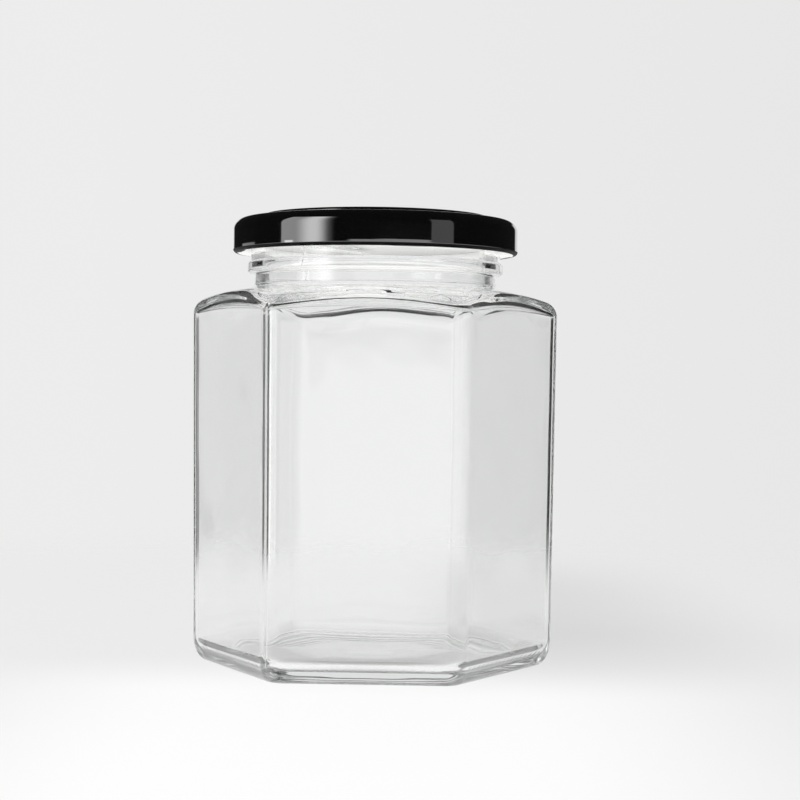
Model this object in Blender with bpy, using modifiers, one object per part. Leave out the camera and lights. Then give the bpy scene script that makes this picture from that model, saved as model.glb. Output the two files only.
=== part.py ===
"""A hexagonal glass jar with a twist-off lid, at its real size.

Metres, +Z up. The origin is the centre of the face that the jar stands on. Two of the six
corners lie on the X axis, and one flat panel faces -Y. The jar is one piece of glass, hollow
and open at the mouth. The lid is one piece of sheet steel with a curled hem and four lugs,
screwed fully down over the mouth.
"""

from math import atan2, cos, pi, radians, sin, sqrt

import bmesh
import bpy

MM = 0.001

# Glass, outside. An apothem is the distance from the axis to a flat panel.
BODY_APOTHEM_TOP = 37.5 * MM
BODY_APOTHEM_BOTTOM = 36.9 * MM
CORNER_RADIUS = 3.4 * MM
HEEL_HEIGHT = 5.6 * MM
HEEL_INSET = 3.1 * MM
WALL_TOP = 81.5 * MM
EDGE_HEIGHT = 3.6 * MM
EDGE_INSET = 3.3 * MM
SHOULDER_RISE = 2.4 * MM
SHOULDER_CROWN = 0.1
NECK_RADIUS = 28.0 * MM
NECK_FLARE = 0.25 * MM
NECK_FILLET = 0.8 * MM

# The shoulder is a dome that the panels cut, so each panel ends in an arch that is highest at its
# middle. A slope is a point's rise for each length that it lies nearer the axis than its corners.
ARCH_START = 66.0 * MM
ARCH_SLOPE_WALL = 0.6
ARCH_SLOPE_SHOULDER = 0.25
INNER_ARCH_SLOPE_WALL = 0.18
INNER_ARCH_SLOPE_SHOULDER = 0.36

# Glass, the finish that carries the lid
BEAD_RADIUS = 29.85 * MM
BEAD_BOTTOM = 91.0 * MM
BEAD_TOP = 93.5 * MM
BEAD_ROUNDING = 0.5 * MM
FINISH_RADIUS = 29.2 * MM
RIM_TOP = 102.9 * MM
RIM_ROUNDING = 1.2 * MM
THREAD_COUNT = 4
THREAD_TUBE_RADIUS = 1.05 * MM
THREAD_SINK = 0.15 * MM
THREAD_LOW = 98.1 * MM
THREAD_RISE = 2.2 * MM
THREAD_SWEEP = radians(62)
THREAD_LEAD = radians(12)
THREAD_POINTS = 15
THREAD_TIP = 0.3
THREAD_FADE = 0.2

# Glass, inside
BORE_RADIUS = 25.9 * MM
WALL_THICKNESS = 2.0 * MM
INNER_CORNER_RADIUS = 4.0 * MM
INNER_EDGE_TOP = 82.7 * MM
INNER_EDGE_HEIGHT = 1.5 * MM
INNER_EDGE_INSET = 1.6 * MM
INNER_SHOULDER_TOP = 85.6 * MM
INNER_FILLET_HEIGHT = 1.0 * MM
FLOOR_EDGE = 4.8 * MM
FLOOR_CENTRE = 5.3 * MM
FLOOR_FILLET_INSET = 5.5 * MM
FLOOR_FILLET_HEIGHT = 7.0 * MM

# Glass, underside
BEARING_WIDTH = 3.2 * MM
PUSH_UP = 1.6 * MM
PUSH_UP_SHARES = (0.5, 0.85)

# Lid, outside surface of the sheet
LID_RADIUS = 33.3 * MM
LID_BOTTOM = 95.6 * MM
LID_TOP = 104.6 * MM
LID_SHOULDER_TOP = 103.6 * MM
LID_SHOULDER_RADIUS = 2.6 * MM
LID_PANEL_TOP = 104.0 * MM
STACKING_RING_INSIDE = 23.0 * MM
STACKING_RING_OUTSIDE = 26.8 * MM
STACKING_RING_SLOPE = 0.9 * MM
# Ramps of that ring: slopes outwards from its edge, and share of its height
RING_INNER_RAMP = ((-1.0, 0.0), (-0.3, 0.7), (0.4, 1.0))
RING_OUTER_RAMP = ((-1.2, 1.0), (-0.4, 0.55), (0.0, 0.0))
CURL_RADIUS = 0.9 * MM
CURL_TURN = radians(250)
CURL_STEPS = 7
SHEET_THICKNESS = 0.4 * MM
LUG_COUNT = 4
LUG_FIRST_ANGLE = radians(16)
LUG_LENGTH = 9.0 * MM
LUG_INNER_RADIUS = 30.0 * MM
LUG_HEIGHT = 1.35 * MM
LUG_DEPTH = 2.2 * MM
LUG_EDGE = 0.35 * MM

# Directions of the points in half of one corner's sixth, measured from the corner
HALF_SIXTH = [radians(a) for a in (0, 2.2, 4.4, 8.5, 14.5, 22, 30)]
SIXTH = pi / 3

# Pieces that each rounding is divided into
HEEL_STEPS = 4
EDGE_STEPS = 4
FLOOR_STEPS = 4
SHOULDER_STEPS = 5
RIM_STEPS = 3
FILLET_STEPS = 2
LID_EDGE_STEPS = 4
LID_STEPS = 48

MERGE = 0.00001
SHARP_ANGLE = radians(35)


def clear_scene():
    for thing in list(bpy.data.objects):
        bpy.data.objects.remove(thing, do_unlink=True)


def new_collection(name):
    made = bpy.data.collections.new(name)
    bpy.context.scene.collection.children.link(made)
    return made


def link(name, mesh, collection):
    thing = bpy.data.objects.new(name, mesh)
    collection.objects.link(thing)
    return thing


def glass_material():
    made = bpy.data.materials.new("clear_glass")
    made.use_nodes = True
    shader = made.node_tree.nodes["Principled BSDF"]
    shader.inputs["Base Color"].default_value = (0.93, 0.96, 0.96, 1)
    shader.inputs["Roughness"].default_value = 0.03
    shader.inputs["IOR"].default_value = 1.51
    shader.inputs["Transmission Weight"].default_value = 1.0
    return made


def lacquer_material():
    made = bpy.data.materials.new("black_lacquer")
    made.use_nodes = True
    shader = made.node_tree.nodes["Principled BSDF"]
    shader.inputs["Base Color"].default_value = (0.012, 0.012, 0.013, 1)
    shader.inputs["Roughness"].default_value = 0.22
    shader.inputs["Metallic"].default_value = 0.0
    return made


# Outlines

def directions():
    """Angles of one ring's points: dense near each corner, the same for every ring."""
    found = []
    for corner in range(6):
        middle = corner * SIXTH
        found += [middle - a for a in reversed(HALF_SIXTH[1:-1])]
        found += [middle + a for a in HALF_SIXTH]
    return found


def rounded_hexagon(apothem, corner_radius, angle):
    """Distance from the axis to the outline, in the direction of angle."""
    from_corner = abs((angle + SIXTH / 2) % SIXTH - SIXTH / 2)
    arc_centre = (apothem - corner_radius) / cos(SIXTH / 2)
    arc_end = atan2(corner_radius * sin(SIXTH / 2), arc_centre + corner_radius * cos(SIXTH / 2))
    if from_corner >= arc_end:
        return apothem / cos(SIXTH / 2 - from_corner)
    across = arc_centre * sin(from_corner)
    return arc_centre * cos(from_corner) + sqrt(corner_radius**2 - across**2)


def quarter(start, end, bulge_first, steps):
    """Points (apothem, z) of a quarter ellipse from start to end, without start. With
    bulge_first it leaves start along z, and otherwise along the apothem."""
    found = []
    for i in range(1, steps + 1):
        turn = i / steps * pi / 2
        fast, slow = sin(turn), 1 - cos(turn)
        along_z, along_a = (fast, slow) if bulge_first else (slow, fast)
        found.append((start[0] + (end[0] - start[0]) * along_a, start[1] + (end[1] - start[1]) * along_z))
    return found


def hexagonal(points, corner_radius):
    return [(apothem, z, min(corner_radius, apothem)) for apothem, z in points]


def round_section(points):
    return [(radius, z, radius) for radius, z in points]


def blend_to_round(start, end, corner_radius, steps):
    """Rings of a shoulder, without its start: from hexagonal at start to round at end."""
    found = []
    for i in range(1, steps + 1):
        t = i / steps
        apothem = start[0] + (end[0] - start[0]) * t
        z = start[1] + (end[1] - start[1]) * t * (1 + SHOULDER_CROWN * (1 - t))
        roundness = t * t * (3 - 2 * t)
        found.append((apothem, z, corner_radius + (apothem - corner_radius) * roundness))
    return found


# Glass jar

def outside_rings():
    """Rings (apothem, z, corner radius) from the middle of the underside up to the rim."""
    bearing_outside = BODY_APOTHEM_BOTTOM - HEEL_INSET
    bearing_inside = bearing_outside - BEARING_WIDTH
    corner = CORNER_RADIUS
    dome = [(bearing_inside * share, PUSH_UP * (1 - share**4)) for share in PUSH_UP_SHARES]
    rings = hexagonal(dome + [(bearing_inside, 0), (bearing_outside, 0)], corner)
    heel_end = (BODY_APOTHEM_BOTTOM, HEEL_HEIGHT)
    rings += hexagonal(quarter((bearing_outside, 0), heel_end, False, HEEL_STEPS), corner)
    wall_end = (BODY_APOTHEM_TOP, WALL_TOP)
    rings += hexagonal([wall_end], corner)
    edge_end = (BODY_APOTHEM_TOP - EDGE_INSET, WALL_TOP + EDGE_HEIGHT)
    rings += hexagonal(quarter(wall_end, edge_end, True, EDGE_STEPS), corner)

    neck_foot = NECK_RADIUS + NECK_FLARE
    shoulder_end = (neck_foot + NECK_FILLET, edge_end[1] + SHOULDER_RISE)
    rings += blend_to_round(edge_end, shoulder_end, corner, SHOULDER_STEPS)
    neck_start = (neck_foot, shoulder_end[1] + NECK_FILLET)
    neck_end = (NECK_RADIUS, BEAD_BOTTOM)
    rings += round_section(quarter(shoulder_end, neck_start, False, FILLET_STEPS) + [neck_end])

    bead_low = (BEAD_RADIUS, BEAD_BOTTOM + BEAD_ROUNDING)
    under_bead = (BEAD_RADIUS - BEAD_ROUNDING, BEAD_BOTTOM)
    rings += round_section([under_bead] + quarter(under_bead, bead_low, False, FILLET_STEPS))
    rings += round_section([(BEAD_RADIUS, BEAD_TOP - BEAD_ROUNDING), (FINISH_RADIUS, BEAD_TOP)])
    rim_start = (FINISH_RADIUS, RIM_TOP - RIM_ROUNDING)
    rim_flat = (FINISH_RADIUS - RIM_ROUNDING, RIM_TOP)
    return rings + round_section([rim_start] + quarter(rim_start, rim_flat, True, RIM_STEPS))


def inside_rings():
    """Rings from the rim down the bore and the inner wall to the middle of the inner floor."""
    rim_start = (BORE_RADIUS + RIM_ROUNDING, RIM_TOP)
    rim_end = (BORE_RADIUS, RIM_TOP - RIM_ROUNDING)
    rings = round_section([rim_start] + quarter(rim_start, rim_end, False, RIM_STEPS))
    bore_end = (BORE_RADIUS, INNER_SHOULDER_TOP + INNER_FILLET_HEIGHT)
    shoulder_start = (BORE_RADIUS + NECK_FILLET, INNER_SHOULDER_TOP)
    rings += round_section([bore_end, shoulder_start])

    top_apothem = BODY_APOTHEM_TOP - WALL_THICKNESS
    edge_start = (top_apothem - INNER_EDGE_INSET, INNER_EDGE_TOP)
    corner = INNER_CORNER_RADIUS
    outward = blend_to_round(edge_start, shoulder_start, corner, SHOULDER_STEPS)
    rings += list(reversed(outward[:-1]))
    edge_end = (top_apothem, INNER_EDGE_TOP - INNER_EDGE_HEIGHT)
    rings += hexagonal([edge_start] + quarter(edge_start, edge_end, False, EDGE_STEPS), corner)

    wall_end = (BODY_APOTHEM_BOTTOM - WALL_THICKNESS, FLOOR_EDGE + FLOOR_FILLET_HEIGHT)
    floor_start = (wall_end[0] - FLOOR_FILLET_INSET, FLOOR_EDGE)
    rings += hexagonal([wall_end] + quarter(wall_end, floor_start, True, FLOOR_STEPS), corner)
    return rings + hexagonal([(floor_start[0] * 0.5, FLOOR_CENTRE)], corner)


def share_between(value, start, end):
    return min(max((value - start) / (end - start), 0), 1)


def outer_arch_slope(z):
    rising = share_between(z, ARCH_START, WALL_TOP)
    falling = share_between(z, WALL_TOP, WALL_TOP + EDGE_HEIGHT)
    return rising * (ARCH_SLOPE_WALL + (ARCH_SLOPE_SHOULDER - ARCH_SLOPE_WALL) * falling)


def inner_arch_slope(z):
    rising = share_between(z, ARCH_START, INNER_EDGE_TOP - INNER_EDGE_HEIGHT)
    growing = share_between(z, INNER_EDGE_TOP - INNER_EDGE_HEIGHT, INNER_EDGE_TOP)
    return rising * (INNER_ARCH_SLOPE_WALL + (INNER_ARCH_SLOPE_SHOULDER - INNER_ARCH_SLOPE_WALL) * growing)


def add_loop(made, ring, slope):
    apothem, z, corner_radius = ring
    corner_reach = rounded_hexagon(apothem, corner_radius, 0)
    loop = []
    for angle in directions():
        r = rounded_hexagon(apothem, corner_radius, angle)
        loop.append(made.verts.new((r * cos(angle), r * sin(angle), z + slope * (corner_reach - r))))
    return loop


def loft(outer_rings, inner_rings, bottom_z, inner_z):
    """A closed skin through the rings, with a pole at each end."""
    made = bmesh.new()
    first_pole = made.verts.new((0, 0, bottom_z))
    last_pole = made.verts.new((0, 0, inner_z))
    loops = [add_loop(made, ring, outer_arch_slope(ring[1])) for ring in outer_rings]
    loops += [add_loop(made, ring, inner_arch_slope(ring[1])) for ring in inner_rings]
    count = len(loops[0])
    for i in range(count):
        j = (i + 1) % count
        made.faces.new((first_pole, loops[0][j], loops[0][i]))
        made.faces.new((last_pole, loops[-1][i], loops[-1][j]))
        for low, high in zip(loops, loops[1:]):
            made.faces.new((low[i], low[j], high[j], high[i]))
    return made


def make_threads(collection):
    """Short round ridges that climb the finish, as tubes sunk in its wall."""
    for k in range(THREAD_COUNT):
        curve = bpy.data.curves.new(f"thread_{k}", "CURVE")
        curve.dimensions = "3D"
        curve.bevel_depth = THREAD_TUBE_RADIUS
        curve.bevel_resolution = 2
        curve.use_fill_caps = True
        line = curve.splines.new("POLY")
        line.points.add(THREAD_POINTS - 1)
        middle_radius = FINISH_RADIUS - THREAD_SINK
        first = LUG_FIRST_ANGLE + k * 2 * pi / THREAD_COUNT - THREAD_LEAD
        for i, point in enumerate(line.points):
            t = i / (THREAD_POINTS - 1)
            angle = first + THREAD_SWEEP * t
            z = THREAD_LOW + THREAD_RISE * t
            swell = min(1, min(t, 1 - t) / THREAD_FADE)
            point.co = (middle_radius * cos(angle), middle_radius * sin(angle), z, 1)
            point.radius = THREAD_TIP + (1 - THREAD_TIP) * swell
        guide = bpy.data.objects.new(f"thread_line_{k}", curve)
        collection.objects.link(guide)
        bpy.context.view_layer.update()
        evaluated = guide.evaluated_get(bpy.context.evaluated_depsgraph_get())
        mesh = bpy.data.meshes.new_from_object(evaluated)
        welded = bmesh.new()
        welded.from_mesh(mesh)
        bmesh.ops.remove_doubles(welded, verts=welded.verts, dist=MERGE)
        bmesh.ops.recalc_face_normals(welded, faces=welded.faces)
        welded.to_mesh(mesh)
        welded.free()
        tube = link(f"thread_{k}", mesh, collection)
        tube.matrix_world = guide.matrix_world
        bpy.data.objects.remove(guide, do_unlink=True)
        hide(tube)


def hide(thing):
    thing.hide_render = True
    thing.display_type = "WIRE"


def join_collection(thing, collection):
    join = thing.modifiers.new("join", "BOOLEAN")
    join.operation = "UNION"
    join.operand_type = "COLLECTION"
    join.collection = collection
    join.solver = "EXACT"


def make_jar(shown, tools):
    skin = loft(outside_rings(), inside_rings(), PUSH_UP, FLOOR_CENTRE)
    mesh = bpy.data.meshes.new("jar")
    skin.to_mesh(mesh)
    skin.free()
    jar = link("jar", mesh, shown)
    jar.data.materials.append(glass_material())
    jar.data.shade_smooth()
    jar.data.set_sharp_from_angle(angle=SHARP_ANGLE)
    make_threads(tools)
    join_collection(jar, tools)


# Lid

def lid_profile():
    """Points (radius, z) of the sheet's outer face, from the axis out and down to the curl."""
    points = [(0, LID_PANEL_TOP)]
    for slopes, share in RING_INNER_RAMP:
        radius = STACKING_RING_INSIDE + slopes * STACKING_RING_SLOPE
        points.append((radius, LID_PANEL_TOP + share * (LID_TOP - LID_PANEL_TOP)))
    for slopes, share in RING_OUTER_RAMP:
        radius = STACKING_RING_OUTSIDE + slopes * STACKING_RING_SLOPE
        points.append((radius, LID_SHOULDER_TOP + share * (LID_TOP - LID_SHOULDER_TOP)))
    shoulder_start = (LID_RADIUS - LID_SHOULDER_RADIUS, LID_SHOULDER_TOP)
    shoulder_end = (LID_RADIUS, LID_SHOULDER_TOP - LID_SHOULDER_RADIUS)
    points += [shoulder_start] + quarter(shoulder_start, shoulder_end, False, LID_EDGE_STEPS)
    curl_middle = (LID_RADIUS - CURL_RADIUS, LID_BOTTOM + CURL_RADIUS)
    for i in range(CURL_STEPS + 1):
        turn = -CURL_TURN * i / CURL_STEPS
        points.append((curl_middle[0] + CURL_RADIUS * cos(turn), curl_middle[1] + CURL_RADIUS * sin(turn)))
    return points


def make_lug(index, collection):
    """A tab pressed inwards from the hem, which hooks under a thread."""
    angle = LUG_FIRST_ANGLE + index * 2 * pi / LUG_COUNT
    made = bmesh.new()
    bmesh.ops.create_cube(made, size=1)
    bmesh.ops.scale(made, verts=made.verts, vec=(LUG_DEPTH, LUG_LENGTH, LUG_HEIGHT))
    mesh = bpy.data.meshes.new(f"lug_{index}")
    made.to_mesh(mesh)
    made.free()
    lug = link(f"lug_{index}", mesh, collection)
    middle_radius = LUG_INNER_RADIUS + LUG_DEPTH / 2
    middle_z = LID_BOTTOM + LUG_EDGE / 2 + LUG_HEIGHT / 2
    lug.location = (middle_radius * cos(angle), middle_radius * sin(angle), middle_z)
    lug.rotation_euler = (0, 0, angle)
    rounding = lug.modifiers.new("rounding", "BEVEL")
    rounding.width = LUG_EDGE
    rounding.segments = 2
    hide(lug)


def make_lid(shown, tools):
    mesh = bpy.data.meshes.new("lid")
    points = lid_profile()
    edges = [(i, i + 1) for i in range(len(points) - 1)]
    mesh.from_pydata([(r, 0, z) for r, z in points], edges, [])
    lid = link("lid", mesh, shown)
    turned = lid.modifiers.new("turned", "SCREW")
    turned.steps = LID_STEPS
    turned.render_steps = LID_STEPS
    turned.use_merge_vertices = True
    turned.merge_threshold = MERGE
    sheet = lid.modifiers.new("sheet", "SOLIDIFY")
    sheet.thickness = SHEET_THICKNESS
    sheet.offset = -1
    sheet.use_even_offset = True
    lid.data.materials.append(lacquer_material())
    for index in range(LUG_COUNT):
        make_lug(index, tools)
    join_collection(lid, tools)


def main():
    clear_scene()
    shown = new_collection("hexagonal_jar")
    make_jar(shown, new_collection("thread_tools"))
    make_lid(shown, new_collection("lug_tools"))
    for name in ("thread_tools", "lug_tools"):
        bpy.data.collections[name].hide_render = True


main()
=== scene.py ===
"""Dresses the hexagonal jar and its lid for the view in the photograph.

Metres, +Z up, in the part's own frame: the jar stands at the origin, two corners lie on the X
axis and a flat panel faces -Y. The glass is one closed skin with its thickness, seam, threads
and knurled foot in the mesh. The lid is one closed sheet, black outside and white inside.
"""

from math import atan, cos, pi, radians, sin

import bpy
import numpy as np
from mathutils import Matrix, Vector


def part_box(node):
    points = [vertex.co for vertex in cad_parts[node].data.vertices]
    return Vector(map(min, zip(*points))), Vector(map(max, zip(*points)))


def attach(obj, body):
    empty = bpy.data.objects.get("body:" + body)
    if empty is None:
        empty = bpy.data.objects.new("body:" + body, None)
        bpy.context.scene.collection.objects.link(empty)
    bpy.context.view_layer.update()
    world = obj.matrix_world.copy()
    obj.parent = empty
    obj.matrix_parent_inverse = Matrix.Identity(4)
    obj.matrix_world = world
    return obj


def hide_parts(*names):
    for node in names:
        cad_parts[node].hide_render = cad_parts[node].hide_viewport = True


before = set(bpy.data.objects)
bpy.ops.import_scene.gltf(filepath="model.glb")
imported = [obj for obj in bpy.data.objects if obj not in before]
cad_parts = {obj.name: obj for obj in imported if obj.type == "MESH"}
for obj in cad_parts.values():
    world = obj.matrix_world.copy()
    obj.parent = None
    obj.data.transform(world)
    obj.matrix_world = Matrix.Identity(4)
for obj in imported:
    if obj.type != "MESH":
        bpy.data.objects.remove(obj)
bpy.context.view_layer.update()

MM = 0.001
JAR_LOW, JAR_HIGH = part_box("jar")
LID_LOW, LID_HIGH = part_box("lid")

# Camera. The photograph is taken from two thirds of the jar's height, turned a little off the panel.
IMAGE_SIDE = 800
FOCAL_PIXELS = 1917
CAMERA_DISTANCE = 450 * MM
CAMERA_HEIGHT = 66.3 * MM
CAMERA_TURN = radians(2.81)
AIM_RIGHT = radians(0.78)
AIM_DOWN = radians(0.59)
ROLL = radians(0.64)

# Glass, outside. An apothem is the distance from the axis to a flat panel.
BODY_APOTHEM_TOP = JAR_HIGH.y
BODY_APOTHEM_BOTTOM = BODY_APOTHEM_TOP - 0.6 * MM
CORNER_RADIUS = 4.4 * MM
HEEL_HEIGHT = 5.6 * MM
HEEL_INSET = 3.1 * MM
WALL_TOP = 81.5 * MM
EDGE_HEIGHT = 3.6 * MM
EDGE_INSET = 3.3 * MM
SHOULDER_RISE = 2.4 * MM
SHOULDER_CROWN = 0.1
NECK_RADIUS = 28.0 * MM
NECK_FLARE = 0.25 * MM
NECK_FILLET = 0.8 * MM
BEARING_WIDTH = 3.2 * MM
PUSH_UP = 1.6 * MM
SEAM_ANGLES = (radians(60), radians(240))
SEAM_HEIGHT = 0.07 * MM
SEAM_HALF_WIDTH = 0.28 * MM
KNURL_PITCH = 1.9 * MM
KNURL_DEPTH = 0.22 * MM
KNURL_SLANT = 2.2
KNURL_FADE = 0.85

# The shoulder is a dome that the panels cut, so each panel ends in an arch that is highest at its
# middle. A slope is a point's rise for each length that it lies nearer the axis than its corners.
ARCH_START = 66.0 * MM
ARCH_SLOPE_WALL = 0.6
ARCH_SLOPE_SHOULDER = 0.25
INNER_ARCH_SLOPE_WALL = 0.18
INNER_ARCH_SLOPE_SHOULDER = 0.36

# Glass, finish
BEAD_RADIUS = 29.85 * MM
BEAD_BOTTOM = 91.0 * MM
BEAD_TOP = 93.5 * MM
BEAD_ROUNDING = 0.5 * MM
FINISH_RADIUS = 29.2 * MM
RIM_TOP = JAR_HIGH.z
RIM_ROUNDING = 1.2 * MM
THREAD_COUNT = 4
THREAD_HEIGHT = 0.9 * MM
THREAD_HALF_WIDTH = 1.05 * MM
THREAD_LOW = 98.1 * MM
THREAD_RISE = 2.2 * MM
THREAD_FIRST = radians(4)
THREAD_SWEEP = radians(62)
THREAD_FADE = 0.2

# Glass, inside
BORE_RADIUS = 25.9 * MM
WALL_THICKNESS = 1.6 * MM
INNER_CORNER_RADIUS = 4.0 * MM
INNER_EDGE_TOP = 82.7 * MM
INNER_EDGE_HEIGHT = 1.5 * MM
INNER_EDGE_INSET = 1.6 * MM
INNER_SHOULDER_TOP = 85.6 * MM
INNER_FILLET = 0.8 * MM
FLOOR_EDGE = 3.0 * MM
FLOOR_CENTRE = 3.6 * MM
FLOOR_FILLET_INSET = 4.0 * MM
FLOOR_FILLET_HEIGHT = 3.0 * MM
WAVE_HEIGHT = 0.035 * MM
GLASS_DEPTH = 6
GLASS_BUMP = 0.05
GLASS_BUMP_DEPTH = 0.1 * MM

# Lid
LID_RADIUS = LID_HIGH.x
LID_BOTTOM = LID_LOW.z
LID_TOP = LID_HIGH.z
LID_SHOULDER_DROP = 1.0 * MM
LID_SHOULDER_RADIUS = 2.6 * MM
LID_PANEL_DROP = 0.6 * MM
RING_INSIDE = 23.0 * MM
RING_OUTSIDE = 26.8 * MM
RING_SLOPE = 0.9 * MM
CURL_RADIUS = 0.9 * MM
CURL_TURN = radians(250)
SHEET_THICKNESS = 0.35 * MM
# Height of the curl's underside that gets the dull lacquer of painted shade
HEM_HEIGHT = 0.75 * MM
LUG_COUNT = 4
LUG_FIRST_ANGLE = radians(16)
LUG_HALF_SWEEP = radians(8.5)
LUG_REACH = 1.5 * MM
LUG_EDGE = 0.35
PEEL_STRENGTH = 0.12
PEEL_DEPTH = 0.03 * MM

# Fineness of the meshes
SIXTH = pi / 3
STEPS_PER_HALF_SIXTH = 20
CROWDING = 1.8
FOOT_SPLIT = 4
LID_STEPS = 192
CURL_STEPS = 20
PUSH_UP_STEPS = 8
HEEL_STEPS = 12
WALL_STEPS = 20
EDGE_STEPS = 12
SHOULDER_STEPS = 26
FINISH_STEPS = 36
RIM_STEPS = 6
FILLET_STEPS = 5
BORE_STEPS = 6
INNER_SHOULDER_STEPS = 24
INNER_WALL_STEPS = 24
FLOOR_FILLET_STEPS = 14

# Paper under the jar. It fades out towards its edge. Its colour carries a painted pool of light in front of
# the jar, and painted shadow under the jar and to its right. A reach is where a tone starts and is full.
PAPER_RADIUS = 420 * MM
PAPER_STEPS = 96
PAPER_FADE = 0.3
PAPER_TONE = 0.735
LIT_POOL_TONE = 0.86
LIT_POOL_REACH_Y = (10 * MM, -50 * MM)
LIT_POOL_REACH_X = (110 * MM, 30 * MM)
SHADE_TONE = 0.64
SHADE_REACH_FRONT = (-60 * MM, 70 * MM)
SHADE_REACH_BACK = (330 * MM, 150 * MM)
SHADE_REACH_LEFT = (0, 30 * MM)
SHADE_REACH_RIGHT = (120 * MM, 40 * MM)
CONTACT_SHADOW_TONE = 0.42
CONTACT_SHADOW_REACH = (36 * MM, 26 * MM)

# Backdrop as the eye sees it, and as a light all round
SEEN_TONE = 0.82
SEEN_SLOPE = 0.022
SEEN_HALF_WIDTH = 0.2
DOME_TONE = 1.03

# The studio that glass and lacquer mirror, in degrees. A span is two angles and a soft pair is how
# wide its two edges are. A rise is above level, a turn goes from the camera's side towards +X, and
# the backdrop's span goes from the far side towards +X.
DARK_TONE = 0.012

# A grey wall at the back left, and the table
SIDE_TONE = 0.60
SIDE_TOP = 3.2
SIDE_TURNS = (-131, -110)
GROUND_TONE = 0.88
GROUND_TOP = -7.4
GROUND_SOFT = 4

# What the glass alone bends into view from above: a pale band, higher in its middle
HIGH_TONE = 0.8
HIGH_RISES = (3.5, 14.0)
HIGH_MIDDLE_RISES = (10, 17.5)
HIGH_MIDDLE_SPAN = (-12, 12)

# The backdrop behind the jar
BACKDROP_TONE = 0.84
BACKDROP_TOP = 14
BACKDROP_SPAN = (-21, 24)

# The lit table in front, which the lid's foot mirrors, and a card that the front panel mirrors
TABLE_TONE = 1.15
TABLE_TOP = 3.0
TABLE_TURNS = (5, 48)
FRONT_TONE = 1.1
FRONT_TOP = 1.5
FRONT_TURNS = (-18, 14)

# The softbox on the left, brightest in its middle, with a narrow strip light in it
KEY_TONE = 1.35
KEY_CORE_TONE = 3.2
KEY_RISES = (-12, 38)
KEY_TURNS = (-77.5, -37)
KEY_CORE_TURNS = (-57, -40.5)
STRIP_TONE = 4.0
STRIP_RISES = (-9, 2.2)
STRIP_TURNS = (-74, -66)

# A dim card on the right
CARD_TONE = 0.35
CARD_RISES = (-6, 24)
CARD_TURNS = (47.5, 67)

# Lamps, in watts for each square metre and steradian
KEY_RADIANCE = 1.2
KEY_SIZE = 0.6
KEY_DISTANCE = 0.9
KEY_AZIMUTH = radians(-50)
KEY_ELEVATION = radians(50)
BOUNCE_RADIANCE = 2.7
BOUNCE_SIZE = 40 * MM
BOUNCE_HEIGHT = 50 * MM
LIGHT_BOUNCES = 64


# Materials

def new_material(name):
    made = bpy.data.materials.new(name)
    made.use_nodes = True
    tree = made.node_tree
    return made, tree, tree.nodes["Principled BSDF"]


def add_node(tree, kind, settings=(), **sockets):
    """A node of that kind. sockets are values, or the output sockets that feed them. i0 is the first."""
    made = tree.nodes.new(kind)
    for key, value in dict(settings).items():
        setattr(made, key, value)
    for key, value in sockets.items():
        numbered = key[0] == "i" and key[1:].isdigit()
        socket = made.inputs[int(key[1:]) if numbered else key.replace("_", " ")]
        if isinstance(value, bpy.types.NodeSocket):
            tree.links.new(value, socket)
        else:
            socket.default_value = value
    return made


def maths(tree, operation, first, second=0.0):
    return add_node(tree, "ShaderNodeMath", {"operation": operation}, i0=first, i1=second).outputs[0]


def mix(tree, share, first, second):
    """A value from first, where share is 0, to second, where it is 1."""
    made = add_node(tree, "ShaderNodeMix", {"data_type": "FLOAT"}, Factor=share, A=first, B=second)
    return made.outputs["Result"]


def ramp(tree, value, reach, low=0.0, high=1.0, kind="SMOOTHSTEP"):
    """low before the first value of reach and high past the second."""
    settings = {"interpolation_type": kind}
    ends = {"From_Min": reach[0], "From_Max": reach[1], "To_Min": low, "To_Max": high}
    return add_node(tree, "ShaderNodeMapRange", settings, Value=value, **ends).outputs["Result"]


def colour_ramp(tree, share, first, second):
    made = add_node(tree, "ShaderNodeValToRGB", Fac=share)
    made.color_ramp.elements[0].color = first
    made.color_ramp.elements[1].color = second
    return made.outputs["Color"]


def bump(tree, shader, height, strength, distance):
    made = add_node(tree, "ShaderNodeBump", Height=height, Strength=strength, Distance=distance)
    tree.links.new(made.outputs["Normal"], shader.inputs["Normal"])


def object_place(tree):
    return add_node(tree, "ShaderNodeTexCoord").outputs["Object"]


def noise(tree, place, scale, detail=2.0):
    return add_node(tree, "ShaderNodeTexNoise", Vector=place, Scale=scale, Detail=detail).outputs["Fac"]


def glass_material():
    """Clear flint glass: slightly uneven as moulded glass is, and a little darker where it is deep."""
    made, tree, shader = new_material("flint_glass")
    shader.inputs["Base Color"].default_value = (0.992, 0.996, 0.994, 1)
    shader.inputs["Roughness"].default_value = 0.0
    shader.inputs["IOR"].default_value = 1.5
    shader.inputs["Transmission Weight"].default_value = 1.0
    bump(tree, shader, noise(tree, object_place(tree), 70, 1.0), GLASS_BUMP, GLASS_BUMP_DEPTH)
    depth = add_node(tree, "ShaderNodeVolumeAbsorption", Density=GLASS_DEPTH)
    depth.inputs["Color"].default_value = (0.765, 0.785, 0.78, 1)
    tree.links.new(depth.outputs["Volume"], tree.nodes["Material Output"].inputs["Volume"])
    return made


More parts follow.
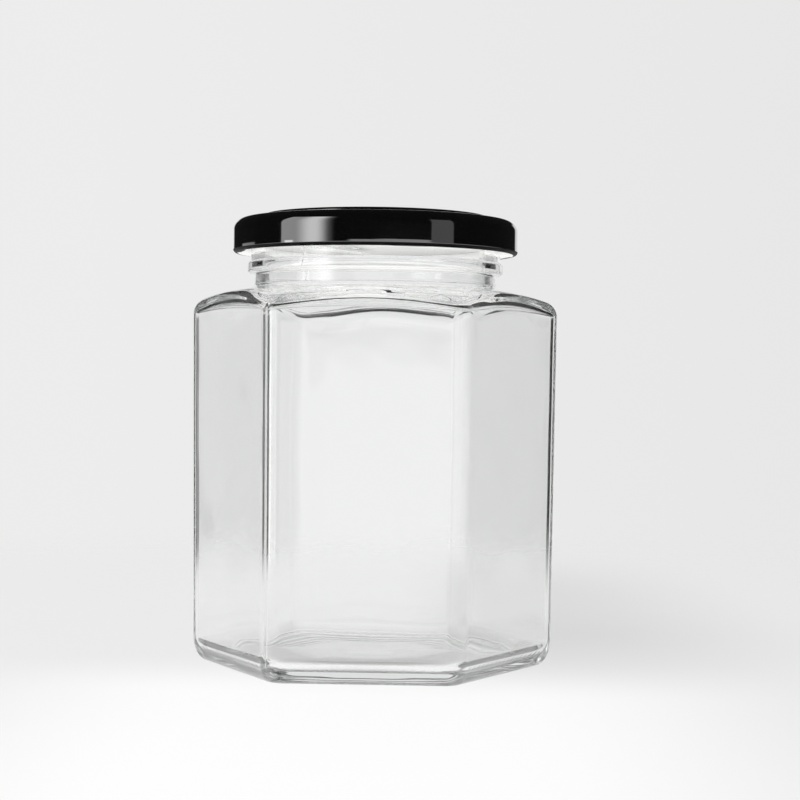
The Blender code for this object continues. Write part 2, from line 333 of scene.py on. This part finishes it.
def lacquer_material():
    """Baked gloss-black lacquer, with the faint orange peel of a coated sheet."""
    made, tree, shader = new_material("gloss_black_lacquer")
    shader.inputs["Roughness"].default_value = 0.06
    shader.inputs["Specular IOR Level"].default_value = 1.0
    shader.inputs["Coat Weight"].default_value = 1.0
    shader.inputs["Coat Roughness"].default_value = 0.03
    shader.inputs["Coat IOR"].default_value = 1.8
    place = object_place(tree)
    cloud = noise(tree, place, 240, 3.0)
    tone = colour_ramp(tree, cloud, (0.0006, 0.0006, 0.0007, 1), (0.0018, 0.0018, 0.0020, 1))
    tree.links.new(tone, shader.inputs["Base Color"])
    bump(tree, shader, noise(tree, place, 900, 1.0), PEEL_STRENGTH, PEEL_DEPTH)
    return made


def hem_material():
    """The same lacquer made dull and dark on the curl's underside, so that it mirrors almost nothing:
    painted shade.
    """
    made, tree, shader = new_material("dull_black_hem_painted_shade")
    shader.inputs["Specular IOR Level"].default_value = 0.1
    cloud = noise(tree, object_place(tree), 500, 3.0)
    tree.links.new(ramp(tree, cloud, (0, 1), 0.45, 0.60, "LINEAR"), shader.inputs["Roughness"])
    shader.inputs["Base Color"].default_value = (0.002, 0.002, 0.002, 1)
    return made


def lining_material():
    """White sanitary enamel on the inside of the lid."""
    made, tree, shader = new_material("white_enamel")
    shader.inputs["Roughness"].default_value = 0.35
    cloud = noise(tree, object_place(tree), 120, 3.0)
    tone = colour_ramp(tree, cloud, (0.86, 0.86, 0.85, 1), (0.92, 0.92, 0.91, 1))
    tree.links.new(tone, shader.inputs["Base Color"])
    return made


# Outlines

def rounded_hexagon(apothem, corner_radius, angles):
    """Distance from the axis to the outline in each direction."""
    from_corner = np.abs((angles + SIXTH / 2) % SIXTH - SIXTH / 2)
    arc_centre = (apothem - corner_radius) / cos(SIXTH / 2)
    arc_end = np.arctan2(corner_radius * sin(SIXTH / 2), arc_centre + corner_radius * cos(SIXTH / 2))
    across = np.minimum(arc_centre * np.sin(from_corner), corner_radius)
    arc = arc_centre * np.cos(from_corner) + np.sqrt(corner_radius**2 - across**2)
    return np.where(from_corner >= arc_end, apothem / np.cos(SIXTH / 2 - from_corner), arc)


def directions():
    """Angles of one ring's points, crowded at the corners."""
    half = [SIXTH / 2 * (i / STEPS_PER_HALF_SIXTH) ** CROWDING for i in range(STEPS_PER_HALF_SIXTH + 1)]
    found = []
    for corner in range(6):
        found += [corner * SIXTH - a for a in reversed(half[1:-1])]
        found += [corner * SIXTH + a for a in half]
    return np.array(found)


def split_finer(angles, parts):
    """The same angles with each gap split into equal parts."""
    gaps = np.diff(np.append(angles, angles[0] + 2 * pi))
    return (angles[:, None] + gaps[:, None] * np.arange(parts) / parts).ravel()


def quarter(start, end, bulge_first, steps):
    """Points of a quarter ellipse from start to end, without start. With bulge_first it leaves
    start along z, and otherwise level."""
    found = []
    for i in range(1, steps + 1):
        fast, slow = sin(i / steps * pi / 2), 1 - cos(i / steps * pi / 2)
        along_z, level = (fast, slow) if bulge_first else (slow, fast)
        found.append((start[0] + (end[0] - start[0]) * level, start[1] + (end[1] - start[1]) * along_z))
    return found


def straight(start, end, steps):
    """Points of a straight line from start to end, without start."""
    shares = [i / steps for i in range(1, steps + 1)]
    return [(start[0] + (end[0] - start[0]) * t, start[1] + (end[1] - start[1]) * t) for t in shares]


def hexagonal(points, corner_radius):
    return [(apothem, z, min(corner_radius, apothem)) for apothem, z in points]


def round_section(points):
    return [(radius, z, radius) for radius, z in points]


def blend_to_round(start, end, corner_radius, steps):
    """Rings of a shoulder, without its start: from hexagonal at start to round at end."""
    found = []
    for i in range(1, steps + 1):
        t = i / steps
        apothem = start[0] + (end[0] - start[0]) * t
        z = start[1] + (end[1] - start[1]) * t * (1 + SHOULDER_CROWN * (1 - t))
        roundness = t * t * (3 - 2 * t)
        found.append((apothem, z, corner_radius + (apothem - corner_radius) * roundness))
    return found


def bell(x, half_width):
    """1 at x = 0, falling smoothly to 0 at half_width."""
    return np.where(np.abs(x) < half_width, np.cos(x / half_width * pi / 2) ** 2, 0.0)


# Glass jar

BEARING_OUTSIDE = BODY_APOTHEM_BOTTOM - HEEL_INSET
BEARING_INSIDE = BEARING_OUTSIDE - BEARING_WIDTH


def foot_rings():
    """The underside, from its middle out over the bearing ring and up the heel."""
    shares = [i / PUSH_UP_STEPS for i in range(1, PUSH_UP_STEPS)]
    dome = [(BEARING_INSIDE * t, PUSH_UP * (1 - t**4)) for t in shares]
    bearing = [(BEARING_INSIDE, 0)] + straight((BEARING_INSIDE, 0), (BEARING_OUTSIDE, 0), 5)
    heel = quarter((BEARING_OUTSIDE, 0), (BODY_APOTHEM_BOTTOM, HEEL_HEIGHT), False, HEEL_STEPS)
    return hexagonal(dome + bearing + heel, CORNER_RADIUS)


def outside_rings():
    """The wall, shoulder, neck, bead, finish and the outer half of the rim, going up."""
    wall_start, wall_end = (BODY_APOTHEM_BOTTOM, HEEL_HEIGHT), (BODY_APOTHEM_TOP, WALL_TOP)
    edge_end = (BODY_APOTHEM_TOP - EDGE_INSET, WALL_TOP + EDGE_HEIGHT)
    points = straight(wall_start, wall_end, WALL_STEPS) + quarter(wall_end, edge_end, True, EDGE_STEPS)
    rings = hexagonal(points, CORNER_RADIUS)
    neck_foot = NECK_RADIUS + NECK_FLARE
    shoulder_end = (neck_foot + NECK_FILLET, edge_end[1] + SHOULDER_RISE)
    rings += blend_to_round(edge_end, shoulder_end, CORNER_RADIUS, SHOULDER_STEPS)

    neck_start = (neck_foot, shoulder_end[1] + NECK_FILLET)
    neck_end = (NECK_RADIUS, BEAD_BOTTOM - BEAD_ROUNDING / 2)
    under_bead = (BEAD_RADIUS - BEAD_ROUNDING, BEAD_BOTTOM)
    bead_low = (BEAD_RADIUS, BEAD_BOTTOM + BEAD_ROUNDING)
    bead_high = (BEAD_RADIUS, BEAD_TOP - BEAD_ROUNDING)
    points = quarter(shoulder_end, neck_start, False, FILLET_STEPS) + straight(neck_start, neck_end, 4)
    bead_foot = (NECK_RADIUS + BEAD_ROUNDING / 2, BEAD_BOTTOM)
    points += straight(neck_end, bead_foot, 2) + straight(bead_foot, under_bead, 2)
    points += quarter(under_bead, bead_low, False, 4) + straight(bead_low, bead_high, 2)
    points += quarter(bead_high, (FINISH_RADIUS, BEAD_TOP), True, 4)
    rim_start = (FINISH_RADIUS, RIM_TOP - RIM_ROUNDING)
    points += straight((FINISH_RADIUS, BEAD_TOP), rim_start, FINISH_STEPS)
    points += quarter(rim_start, (FINISH_RADIUS - RIM_ROUNDING, RIM_TOP), True, RIM_STEPS)
    return rings + round_section(points)


def inside_rings():
    """The inner half of the rim, the bore, the inner shoulder, wall and floor, going down."""
    rim_start = (BORE_RADIUS + RIM_ROUNDING, RIM_TOP)
    rim_end = (BORE_RADIUS, RIM_TOP - RIM_ROUNDING)
    bore_end = (BORE_RADIUS, INNER_SHOULDER_TOP + INNER_FILLET)
    shoulder_start = (BORE_RADIUS + INNER_FILLET, INNER_SHOULDER_TOP)
    points = [rim_start] + quarter(rim_start, rim_end, False, RIM_STEPS)
    points += straight(rim_end, bore_end, BORE_STEPS)
    points += quarter(bore_end, shoulder_start, True, FILLET_STEPS)
    rings = round_section(points)

    top_apothem = BODY_APOTHEM_TOP - WALL_THICKNESS
    edge_start = (top_apothem - INNER_EDGE_INSET, INNER_EDGE_TOP)
    edge_end = (top_apothem, INNER_EDGE_TOP - INNER_EDGE_HEIGHT)
    outward = blend_to_round(edge_start, shoulder_start, INNER_CORNER_RADIUS, INNER_SHOULDER_STEPS)
    rings += list(reversed(outward[:-1]))
    wall_end = (BODY_APOTHEM_BOTTOM - WALL_THICKNESS, FLOOR_EDGE + FLOOR_FILLET_HEIGHT)
    floor_start = (wall_end[0] - FLOOR_FILLET_INSET, FLOOR_EDGE)
    points = [edge_start] + quarter(edge_start, edge_end, False, EDGE_STEPS)
    points += straight(edge_end, wall_end, INNER_WALL_STEPS)
    points += quarter(wall_end, floor_start, True, FLOOR_FILLET_STEPS)
    points += straight(floor_start, (0, FLOOR_CENTRE), 4)[:-1]
    return rings + hexagonal(points, INNER_CORNER_RADIUS)


def thread_relief(angles, z):
    """How far the threads stand out of the finish at height z."""
    relief = np.zeros_like(angles)
    for k in range(THREAD_COUNT):
        along = (angles - THREAD_FIRST - k * 2 * pi / THREAD_COUNT) % (2 * pi) / THREAD_SWEEP
        swell = np.clip(np.minimum(along, 1 - along) / THREAD_FADE, 0, 1)
        height = z - THREAD_LOW - THREAD_RISE * np.minimum(along, 1)
        relief = np.maximum(relief, bell(height, THREAD_HALF_WIDTH) * swell * (2 - swell) * THREAD_HEIGHT)
    return relief


def seam_relief(angles, radius):
    """The fine ridge that the two halves of the mould leave."""
    relief = np.zeros_like(angles)
    for seam in SEAM_ANGLES:
        away = ((angles - seam + pi) % (2 * pi) - pi) * radius
        relief = np.maximum(relief, bell(away, SEAM_HALF_WIDTH) * SEAM_HEIGHT)
    return relief


def wall_waves(angles, z):
    """The slight unevenness that blowing leaves on the inner wall, as a sum of four spiral waves."""
    slow = np.sin(3 * angles + 90 * z) + np.sin(5 * angles - 140 * z + 1.3)
    fast = 0.6 * np.sin(11 * angles + 210 * z + 0.4) + 0.5 * np.sin(8 * angles - 320 * z + 2.1)
    return (slow + fast) * WAVE_HEIGHT


def knurl_lift(angles, apothem):
    """Height of the grooves across the bearing ring, which leave its ridges on the ground."""
    across = (apothem - BEARING_INSIDE) / BEARING_WIDTH
    if not 0 < across <= 1.01:
        return np.zeros_like(angles)
    perimeter = 2 * pi * apothem
    ridges = round(perimeter / KNURL_PITCH)
    slanted = np.cos(angles * ridges + across * KNURL_SLANT)
    return (1 - slanted) / 2 * KNURL_DEPTH * sin(min(across, 1) * pi * KNURL_FADE)


def share_between(value, start, end):
    return min(max((value - start) / (end - start), 0), 1)


def outer_arch_slope(z):
    rising = share_between(z, ARCH_START, WALL_TOP)
    falling = share_between(z, WALL_TOP, WALL_TOP + EDGE_HEIGHT)
    return rising * (ARCH_SLOPE_WALL + (ARCH_SLOPE_SHOULDER - ARCH_SLOPE_WALL) * falling)


def inner_arch_slope(z):
    rising = share_between(z, ARCH_START, INNER_EDGE_TOP - INNER_EDGE_HEIGHT)
    growing = share_between(z, INNER_EDGE_TOP - INNER_EDGE_HEIGHT, INNER_EDGE_TOP)
    return rising * (INNER_ARCH_SLOPE_WALL + (INNER_ARCH_SLOPE_SHOULDER - INNER_ARCH_SLOPE_WALL) * growing)


def ring_points(ring, angles, inner):
    apothem, z, corner_radius = ring
    radius = rounded_hexagon(apothem, corner_radius, angles)
    corner_reach = rounded_hexagon(apothem, corner_radius, np.zeros(1))
    slope = inner_arch_slope(z) if inner else outer_arch_slope(z)
    heights = z + slope * (corner_reach - radius)
    if inner:
        if FLOOR_EDGE + FLOOR_FILLET_HEIGHT < z < INNER_EDGE_TOP:
            radius = radius + wall_waves(angles, z)
    else:
        if z > HEEL_HEIGHT / 4:
            radius = radius + seam_relief(angles, radius)
        if z < PUSH_UP:
            heights = heights + knurl_lift(angles, apothem)
        if z > BEAD_TOP:
            radius = radius + thread_relief(angles, z)
    return np.stack([radius * np.cos(angles), radius * np.sin(angles), heights], 1)


def bridge(faces, low, high):
    """Quads between two loops of point numbers of the same length."""
    for i in range(len(low)):
        j = (i + 1) % len(low)
        faces.append((low[i], low[j], high[j], high[i]))


def fan(faces, fine, coarse):
    """Triangles between a fine loop and a coarse one above it."""
    parts = len(fine) // len(coarse)
    for i, start in enumerate(coarse):
        end = coarse[(i + 1) % len(coarse)]
        group = [fine[(i * parts + k) % len(fine)] for k in range(parts + 1)]
        half = parts // 2
        for k in range(parts):
            faces.append((group[k], group[k + 1], start if k < half else end))
        faces.append((start, group[half], end))


def make_glass():
    coarse_angles = directions()
    fine_angles = split_finer(coarse_angles, FOOT_SPLIT)
    places, faces = [], []

    def add_loop(points):
        first = sum(len(p) for p in places)
        places.append(points)
        return list(range(first, first + len(points)))

    bottom = add_loop(np.array([[0, 0, PUSH_UP]]))[0]
    foot = [add_loop(ring_points(ring, fine_angles, False)) for ring in foot_rings()]
    body = [add_loop(ring_points(ring, coarse_angles, False)) for ring in outside_rings()]
    hollow = [add_loop(ring_points(ring, coarse_angles, True)) for ring in inside_rings()]
    top = add_loop(np.array([[0, 0, FLOOR_CENTRE]]))[0]

    for i in range(len(foot[0])):
        faces.append((bottom, foot[0][(i + 1) % len(foot[0])], foot[0][i]))
    for low, high in zip(foot, foot[1:]):
        bridge(faces, low, high)
    fan(faces, foot[-1], body[0])
    loops = body + hollow
    for low, high in zip(loops, loops[1:]):
        bridge(faces, low, high)
    for i in range(len(loops[-1])):
        faces.append((top, loops[-1][i], loops[-1][(i + 1) % len(loops[-1])]))
    return add_mesh("jar_glass", np.concatenate(places), faces, [glass_material()])


def add_mesh(name, places, faces, materials, slots=None):
    mesh = bpy.data.meshes.new(name)
    mesh.from_pydata(places.tolist(), [], faces)
    for material in materials:
        mesh.materials.append(material)
    if slots:
        mesh.polygons.foreach_set("material_index", slots)
    mesh.shade_smooth()
    made = bpy.data.objects.new(name, mesh)
    bpy.context.scene.collection.objects.link(made)
    return made


# Lid

def lid_profile():
    """Points (radius, z) of the sheet's outer face, from the axis out and down to the curl."""
    shoulder_top, panel_top = LID_TOP - LID_SHOULDER_DROP, LID_TOP - LID_PANEL_DROP
    inner_foot = (RING_INSIDE - RING_SLOPE, panel_top)
    inner_crest = (RING_INSIDE + RING_SLOPE / 2, LID_TOP)
    outer_crest = (RING_OUTSIDE - RING_SLOPE, LID_TOP)
    outer_foot = (RING_OUTSIDE, shoulder_top + RING_SLOPE / 3)
    points = straight((0, panel_top), inner_foot, 10)
    points += soft_step(inner_foot, inner_crest, 8) + straight(inner_crest, outer_crest, 4)
    points += quarter(outer_crest, outer_foot, False, 8)
    ring_foot = (RING_OUTSIDE + RING_SLOPE / 3, shoulder_top)
    shoulder_start = (LID_RADIUS - LID_SHOULDER_RADIUS, shoulder_top)
    shoulder_end = (LID_RADIUS, shoulder_top - LID_SHOULDER_RADIUS)
    points += quarter(outer_foot, ring_foot, True, 4) + straight(ring_foot, shoulder_start, 4)
    points += quarter(shoulder_start, shoulder_end, False, 12)
    curl_middle = Vector((LID_RADIUS - CURL_RADIUS, LID_BOTTOM + CURL_RADIUS))
    points += straight(shoulder_end, (LID_RADIUS, curl_middle.y), 8)
    for i in range(1, CURL_STEPS + 1):
        turn = -CURL_TURN * i / CURL_STEPS
        points.append((curl_middle.x + CURL_RADIUS * cos(turn), curl_middle.y + CURL_RADIUS * sin(turn)))
    return np.array(points)


def soft_step(start, end, steps):
    """Points of a level-ended S from start to end, without start."""
    found = []
    for i in range(1, steps + 1):
        t = i / steps
        rise = t * t * (3 - 2 * t)
        found.append((start[0] + (end[0] - start[0]) * t, start[1] + (end[1] - start[1]) * rise))
    return found


def inner_face(points, thickness):
    """The sheet's inner face: each point moved across the sheet, square to the outline."""
    along = np.gradient(points, axis=0)
    along /= np.linalg.norm(along, axis=1)[:, None]
    return points + np.stack([along[:, 1], -along[:, 0]], 1) * thickness


def lug_reach(points, angles):
    """How far each point of a profile is pressed inwards in each direction."""
    away = (angles - LUG_FIRST_ANGLE + pi / LUG_COUNT) % (2 * pi / LUG_COUNT) - pi / LUG_COUNT
    lug = np.clip((LUG_HALF_SWEEP - np.abs(away)) / (LUG_HALF_SWEEP * LUG_EDGE), 0, 1)
    lug = lug * lug * (3 - 2 * lug)
    inward = np.clip((LID_RADIUS - SHEET_THICKNESS * 1.5 - points[:, 0]) / CURL_RADIUS, 0, 1)
    inward[points[:, 1] > LID_BOTTOM + 3 * CURL_RADIUS] = 0
    return np.outer(inward, lug) * LUG_REACH


LACQUER = 0
LINING = 1
HEM = 2


def make_lid():
    outer = lid_profile()
    inner = inner_face(outer, SHEET_THICKNESS)
    profile = np.concatenate([outer, inner[::-1]])
    angles = np.arange(LID_STEPS) * 2 * pi / LID_STEPS
    radius = profile[:, :1] - lug_reach(profile, angles)
    x, y = radius * np.cos(angles), radius * np.sin(angles)
    z = np.repeat(profile[:, 1:], LID_STEPS, 1)
    places = np.stack([x, y, z], 2).reshape(-1, 3)
    top, under = len(places), len(places) + 1
    poles = np.array([[0, 0, LID_TOP - LID_PANEL_DROP], [0, 0, LID_TOP - LID_PANEL_DROP - SHEET_THICKNESS]])
    faces, slots = [], []
    lowest = int(np.argmin(outer[:, 1])) + 1
    # The curl's lowest band gets the dull hem lacquer, which is painted shade.
    dull = int(np.argmax(outer[:, 1] < LID_BOTTOM + HEM_HEIGHT))
    for row in range(len(profile) - 1):
        for i in range(LID_STEPS):
            j = (i + 1) % LID_STEPS
            a, b = row * LID_STEPS, (row + 1) * LID_STEPS
            faces.append((a + i, b + i, b + j, a + j))
            slots.append(LACQUER if row < dull else HEM if row < lowest else LINING)
    last = (len(profile) - 1) * LID_STEPS
    for i in range(LID_STEPS):
        j = (i + 1) % LID_STEPS
        faces += [(top, i, j), (under, last + j, last + i)]
        slots += [LACQUER, LINING]
    materials = [lacquer_material(), lining_material(), hem_material()]
    return add_mesh("lid_sheet", np.concatenate([places, poles]), faces, materials, slots)


# Stage

def both(tree, *masks):
    """The product of the masks."""
    found = masks[0]
    for mask in masks[1:]:
        found = maths(tree, "MULTIPLY", found, mask)
    return found


def make_floor():
    """A pale disc under the jar that fades into the backdrop at its edge."""
    made, tree, shader = new_material("pale_paper")
    shader.inputs["Roughness"].default_value = 0.9
    shader.inputs["Specular IOR Level"].default_value = 0.0
    place = object_place(tree)
    away = add_node(tree, "ShaderNodeVectorMath", {"operation": "LENGTH"}, i0=place).outputs["Value"]
    x, y, _ = add_node(tree, "ShaderNodeSeparateXYZ", i0=place).outputs

    # Painted light: the paper's colour is made lighter in front of the jar, where a lamp's pool of light
    # would fall.
    lit_pool = both(tree, ramp(tree, y, LIT_POOL_REACH_Y), ramp(tree, maths(tree, "ABSOLUTE", x), LIT_POOL_REACH_X))
    # Painted shadow: the paper's colour is made darker behind and to the right of the jar, where its shadow
    # falls.
    lengthwise = both(tree, ramp(tree, y, SHADE_REACH_FRONT), ramp(tree, y, SHADE_REACH_BACK))
    sideways = both(tree, ramp(tree, x, SHADE_REACH_LEFT), ramp(tree, x, SHADE_REACH_RIGHT))
    tone = mix(tree, lit_pool, PAPER_TONE, LIT_POOL_TONE)
    tone = mix(tree, both(tree, lengthwise, sideways), tone, SHADE_TONE)
    # Painted contact shadow: the paper's colour is made darker under the jar.
    tone = mix(tree, ramp(tree, away, CONTACT_SHADOW_REACH), tone, CONTACT_SHADOW_TONE)
    tree.links.new(tone, shader.inputs["Base Color"])
    fade = ramp(tree, away, (PAPER_RADIUS * PAPER_FADE, PAPER_RADIUS), 1.0, 0.0)
    tree.links.new(fade, shader.inputs["Alpha"])

    angles = [2 * pi * i / PAPER_STEPS for i in range(PAPER_STEPS)]
    ring = np.array([(PAPER_RADIUS * cos(angle), PAPER_RADIUS * sin(angle), 0) for angle in angles])
    floor = add_mesh("floor", ring, [tuple(range(PAPER_STEPS))], [made])
    floor.data.shade_flat()


def make_world():
    """Pale to the eye and as a light all round. Glass and lacquer mirror a studio instead: a pale
    backdrop and table, softboxes, a strip light, and dark walls that draw the glass's edges."""
    world = bpy.data.worlds.new("studio")
    bpy.context.scene.world = world
    world.use_nodes = True
    tree = world.node_tree
    direction = add_node(tree, "ShaderNodeTexCoord").outputs["Generated"]
    x, y, z = add_node(tree, "ShaderNodeSeparateXYZ", i0=direction).outputs
    rise = maths(tree, "ARCSINE", z)
    turn = maths(tree, "ARCTAN2", x, maths(tree, "MULTIPLY", y, -1.0))
    behind = maths(tree, "ARCTAN2", x, y)
    path = add_node(tree, "ShaderNodeLightPath").outputs
    within = maths(tree, "GREATER_THAN", path["Transmission Depth"], 0.5)

    def below(top, soft):
        return ramp(tree, rise, (radians(top + soft / 2), radians(top - soft / 2)))

    def between(value, span, soft):
        (start, end), (soft_start, soft_end) = span, soft
        rising = ramp(tree, value, (radians(start - soft_start / 2), radians(start + soft_start / 2)))
        falling = ramp(tree, value, (radians(end + soft_end / 2), radians(end - soft_end / 2)))
        return both(tree, rising, falling)

    key_rises = between(rise, KEY_RISES, (2, 2))
    strip_rises = between(rise, STRIP_RISES, (1, 0.4))
    card_rises = between(rise, CARD_RISES, (1, 1))
    middle = between(behind, HIGH_MIDDLE_SPAN, (8, 8))
    layers = [
        (SIDE_TONE, both(tree, below(SIDE_TOP, 1), between(turn, SIDE_TURNS, (4, 4)))),
        (GROUND_TONE, below(GROUND_TOP, GROUND_SOFT)),
        (HIGH_TONE, both(tree, within, between(rise, HIGH_RISES, (1, 2)))),
        (HIGH_TONE, both(tree, within, between(rise, HIGH_MIDDLE_RISES, (2, 2)), middle)),
        (BACKDROP_TONE, both(tree, below(BACKDROP_TOP, 4), between(behind, BACKDROP_SPAN, (2, 4)))),
        (TABLE_TONE, both(tree, below(TABLE_TOP, 1), between(turn, TABLE_TURNS, (14, 10)))),
        (FRONT_TONE, both(tree, below(FRONT_TOP, 1), between(turn, FRONT_TURNS, (6, 6)))),
        (KEY_TONE, both(tree, key_rises, between(turn, KEY_TURNS, (1, 16)))),
        (KEY_CORE_TONE, both(tree, key_rises, between(turn, KEY_CORE_TURNS, (16, 12)))),
        (STRIP_TONE, both(tree, strip_rises, between(turn, STRIP_TURNS, (2, 2)))),
        (CARD_TONE, both(tree, card_rises, between(turn, CARD_TURNS, (1, 1)))),
    ]
    mirrored = DARK_TONE
    for tone, mask in layers:
        mirrored = mix(tree, mask, mirrored, tone)
    across = (-SEEN_HALF_WIDTH, SEEN_HALF_WIDTH)
    seen = ramp(tree, x, across, SEEN_TONE + SEEN_SLOPE, SEEN_TONE - SEEN_SLOPE, "LINEAR")
    plain = mix(tree, path["Is Camera Ray"], DOME_TONE, seen)
    bent = maths(tree, "MAXIMUM", path["Is Glossy Ray"], path["Is Transmission Ray"])
    tree.links.new(mix(tree, bent, plain, mirrored), tree.nodes["Background"].inputs["Color"])


def add_lamp(name, place, target, side, radiance):
    """A square area light at place that faces target. Glass and lacquer don't mirror it."""
    lamp = bpy.data.lights.new(name, "AREA")
    lamp.shape = "RECTANGLE"
    lamp.size = side
    lamp.size_y = side
    lamp.energy = radiance * pi * side**2
    made = bpy.data.objects.new(name, lamp)
    bpy.context.scene.collection.objects.link(made)
    made.location = place
    made.rotation_euler = (target - place).to_track_quat("-Z", "Y").to_euler()
    made.visible_glossy = False
    made.visible_transmission = False


def make_lights():
    """A softbox at the upper left, and a small lamp in the jar that lights the underside of the lid."""
    middle = Vector((0, 0, (JAR_LOW.z + JAR_HIGH.z) / 2))
    level = cos(KEY_ELEVATION)
    back = Vector((sin(KEY_AZIMUTH) * level, -cos(KEY_AZIMUTH) * level, sin(KEY_ELEVATION)))
    add_lamp("key_left", middle + back * KEY_DISTANCE, middle, KEY_SIZE, KEY_RADIANCE)
    place = Vector((0, 0, BOUNCE_HEIGHT))
    add_lamp("bounce", place, Vector((0, 0, LID_TOP)), BOUNCE_SIZE, BOUNCE_RADIANCE)


def make_camera():
    data = bpy.data.cameras.new("photo_view")
    data.angle = 2 * atan(IMAGE_SIDE / 2 / FOCAL_PIXELS)
    camera = bpy.data.objects.new("photo_view", data)
    bpy.context.scene.collection.objects.link(camera)
    bpy.context.scene.camera = camera
    heading = CAMERA_TURN - AIM_RIGHT
    level_right = Vector((cos(heading), sin(heading), 0))
    level_ahead = Vector((-sin(heading), cos(heading), 0))
    up = Vector((0, 0, 1))
    ahead = level_ahead * cos(AIM_DOWN) - up * sin(AIM_DOWN)
    above = level_ahead * sin(AIM_DOWN) + up * cos(AIM_DOWN)
    image_right = level_right * cos(ROLL) + above * sin(ROLL)
    image_up = above * cos(ROLL) - level_right * sin(ROLL)
    place = Vector((sin(CAMERA_TURN), -cos(CAMERA_TURN), 0)) * CAMERA_DISTANCE + up * CAMERA_HEIGHT
    turned = Matrix((image_right, image_up, -ahead)).transposed().to_4x4()
    camera.matrix_world = Matrix.Translation(place) @ turned


def main():
    make_camera()
    glass = make_glass()
    glass.visible_shadow = False
    glass.visible_diffuse = False
    lid = make_lid()
    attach(glass, "root")
    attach(lid, "root")
    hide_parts("jar")
    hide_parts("lid")
    make_floor()
    make_world()
    make_lights()
    picture = bpy.context.scene
    picture.view_settings.view_transform = "Standard"
    picture.cycles.max_bounces = LIGHT_BOUNCES
    picture.cycles.transmission_bounces = LIGHT_BOUNCES
    picture.cycles.glossy_bounces = LIGHT_BOUNCES


main()
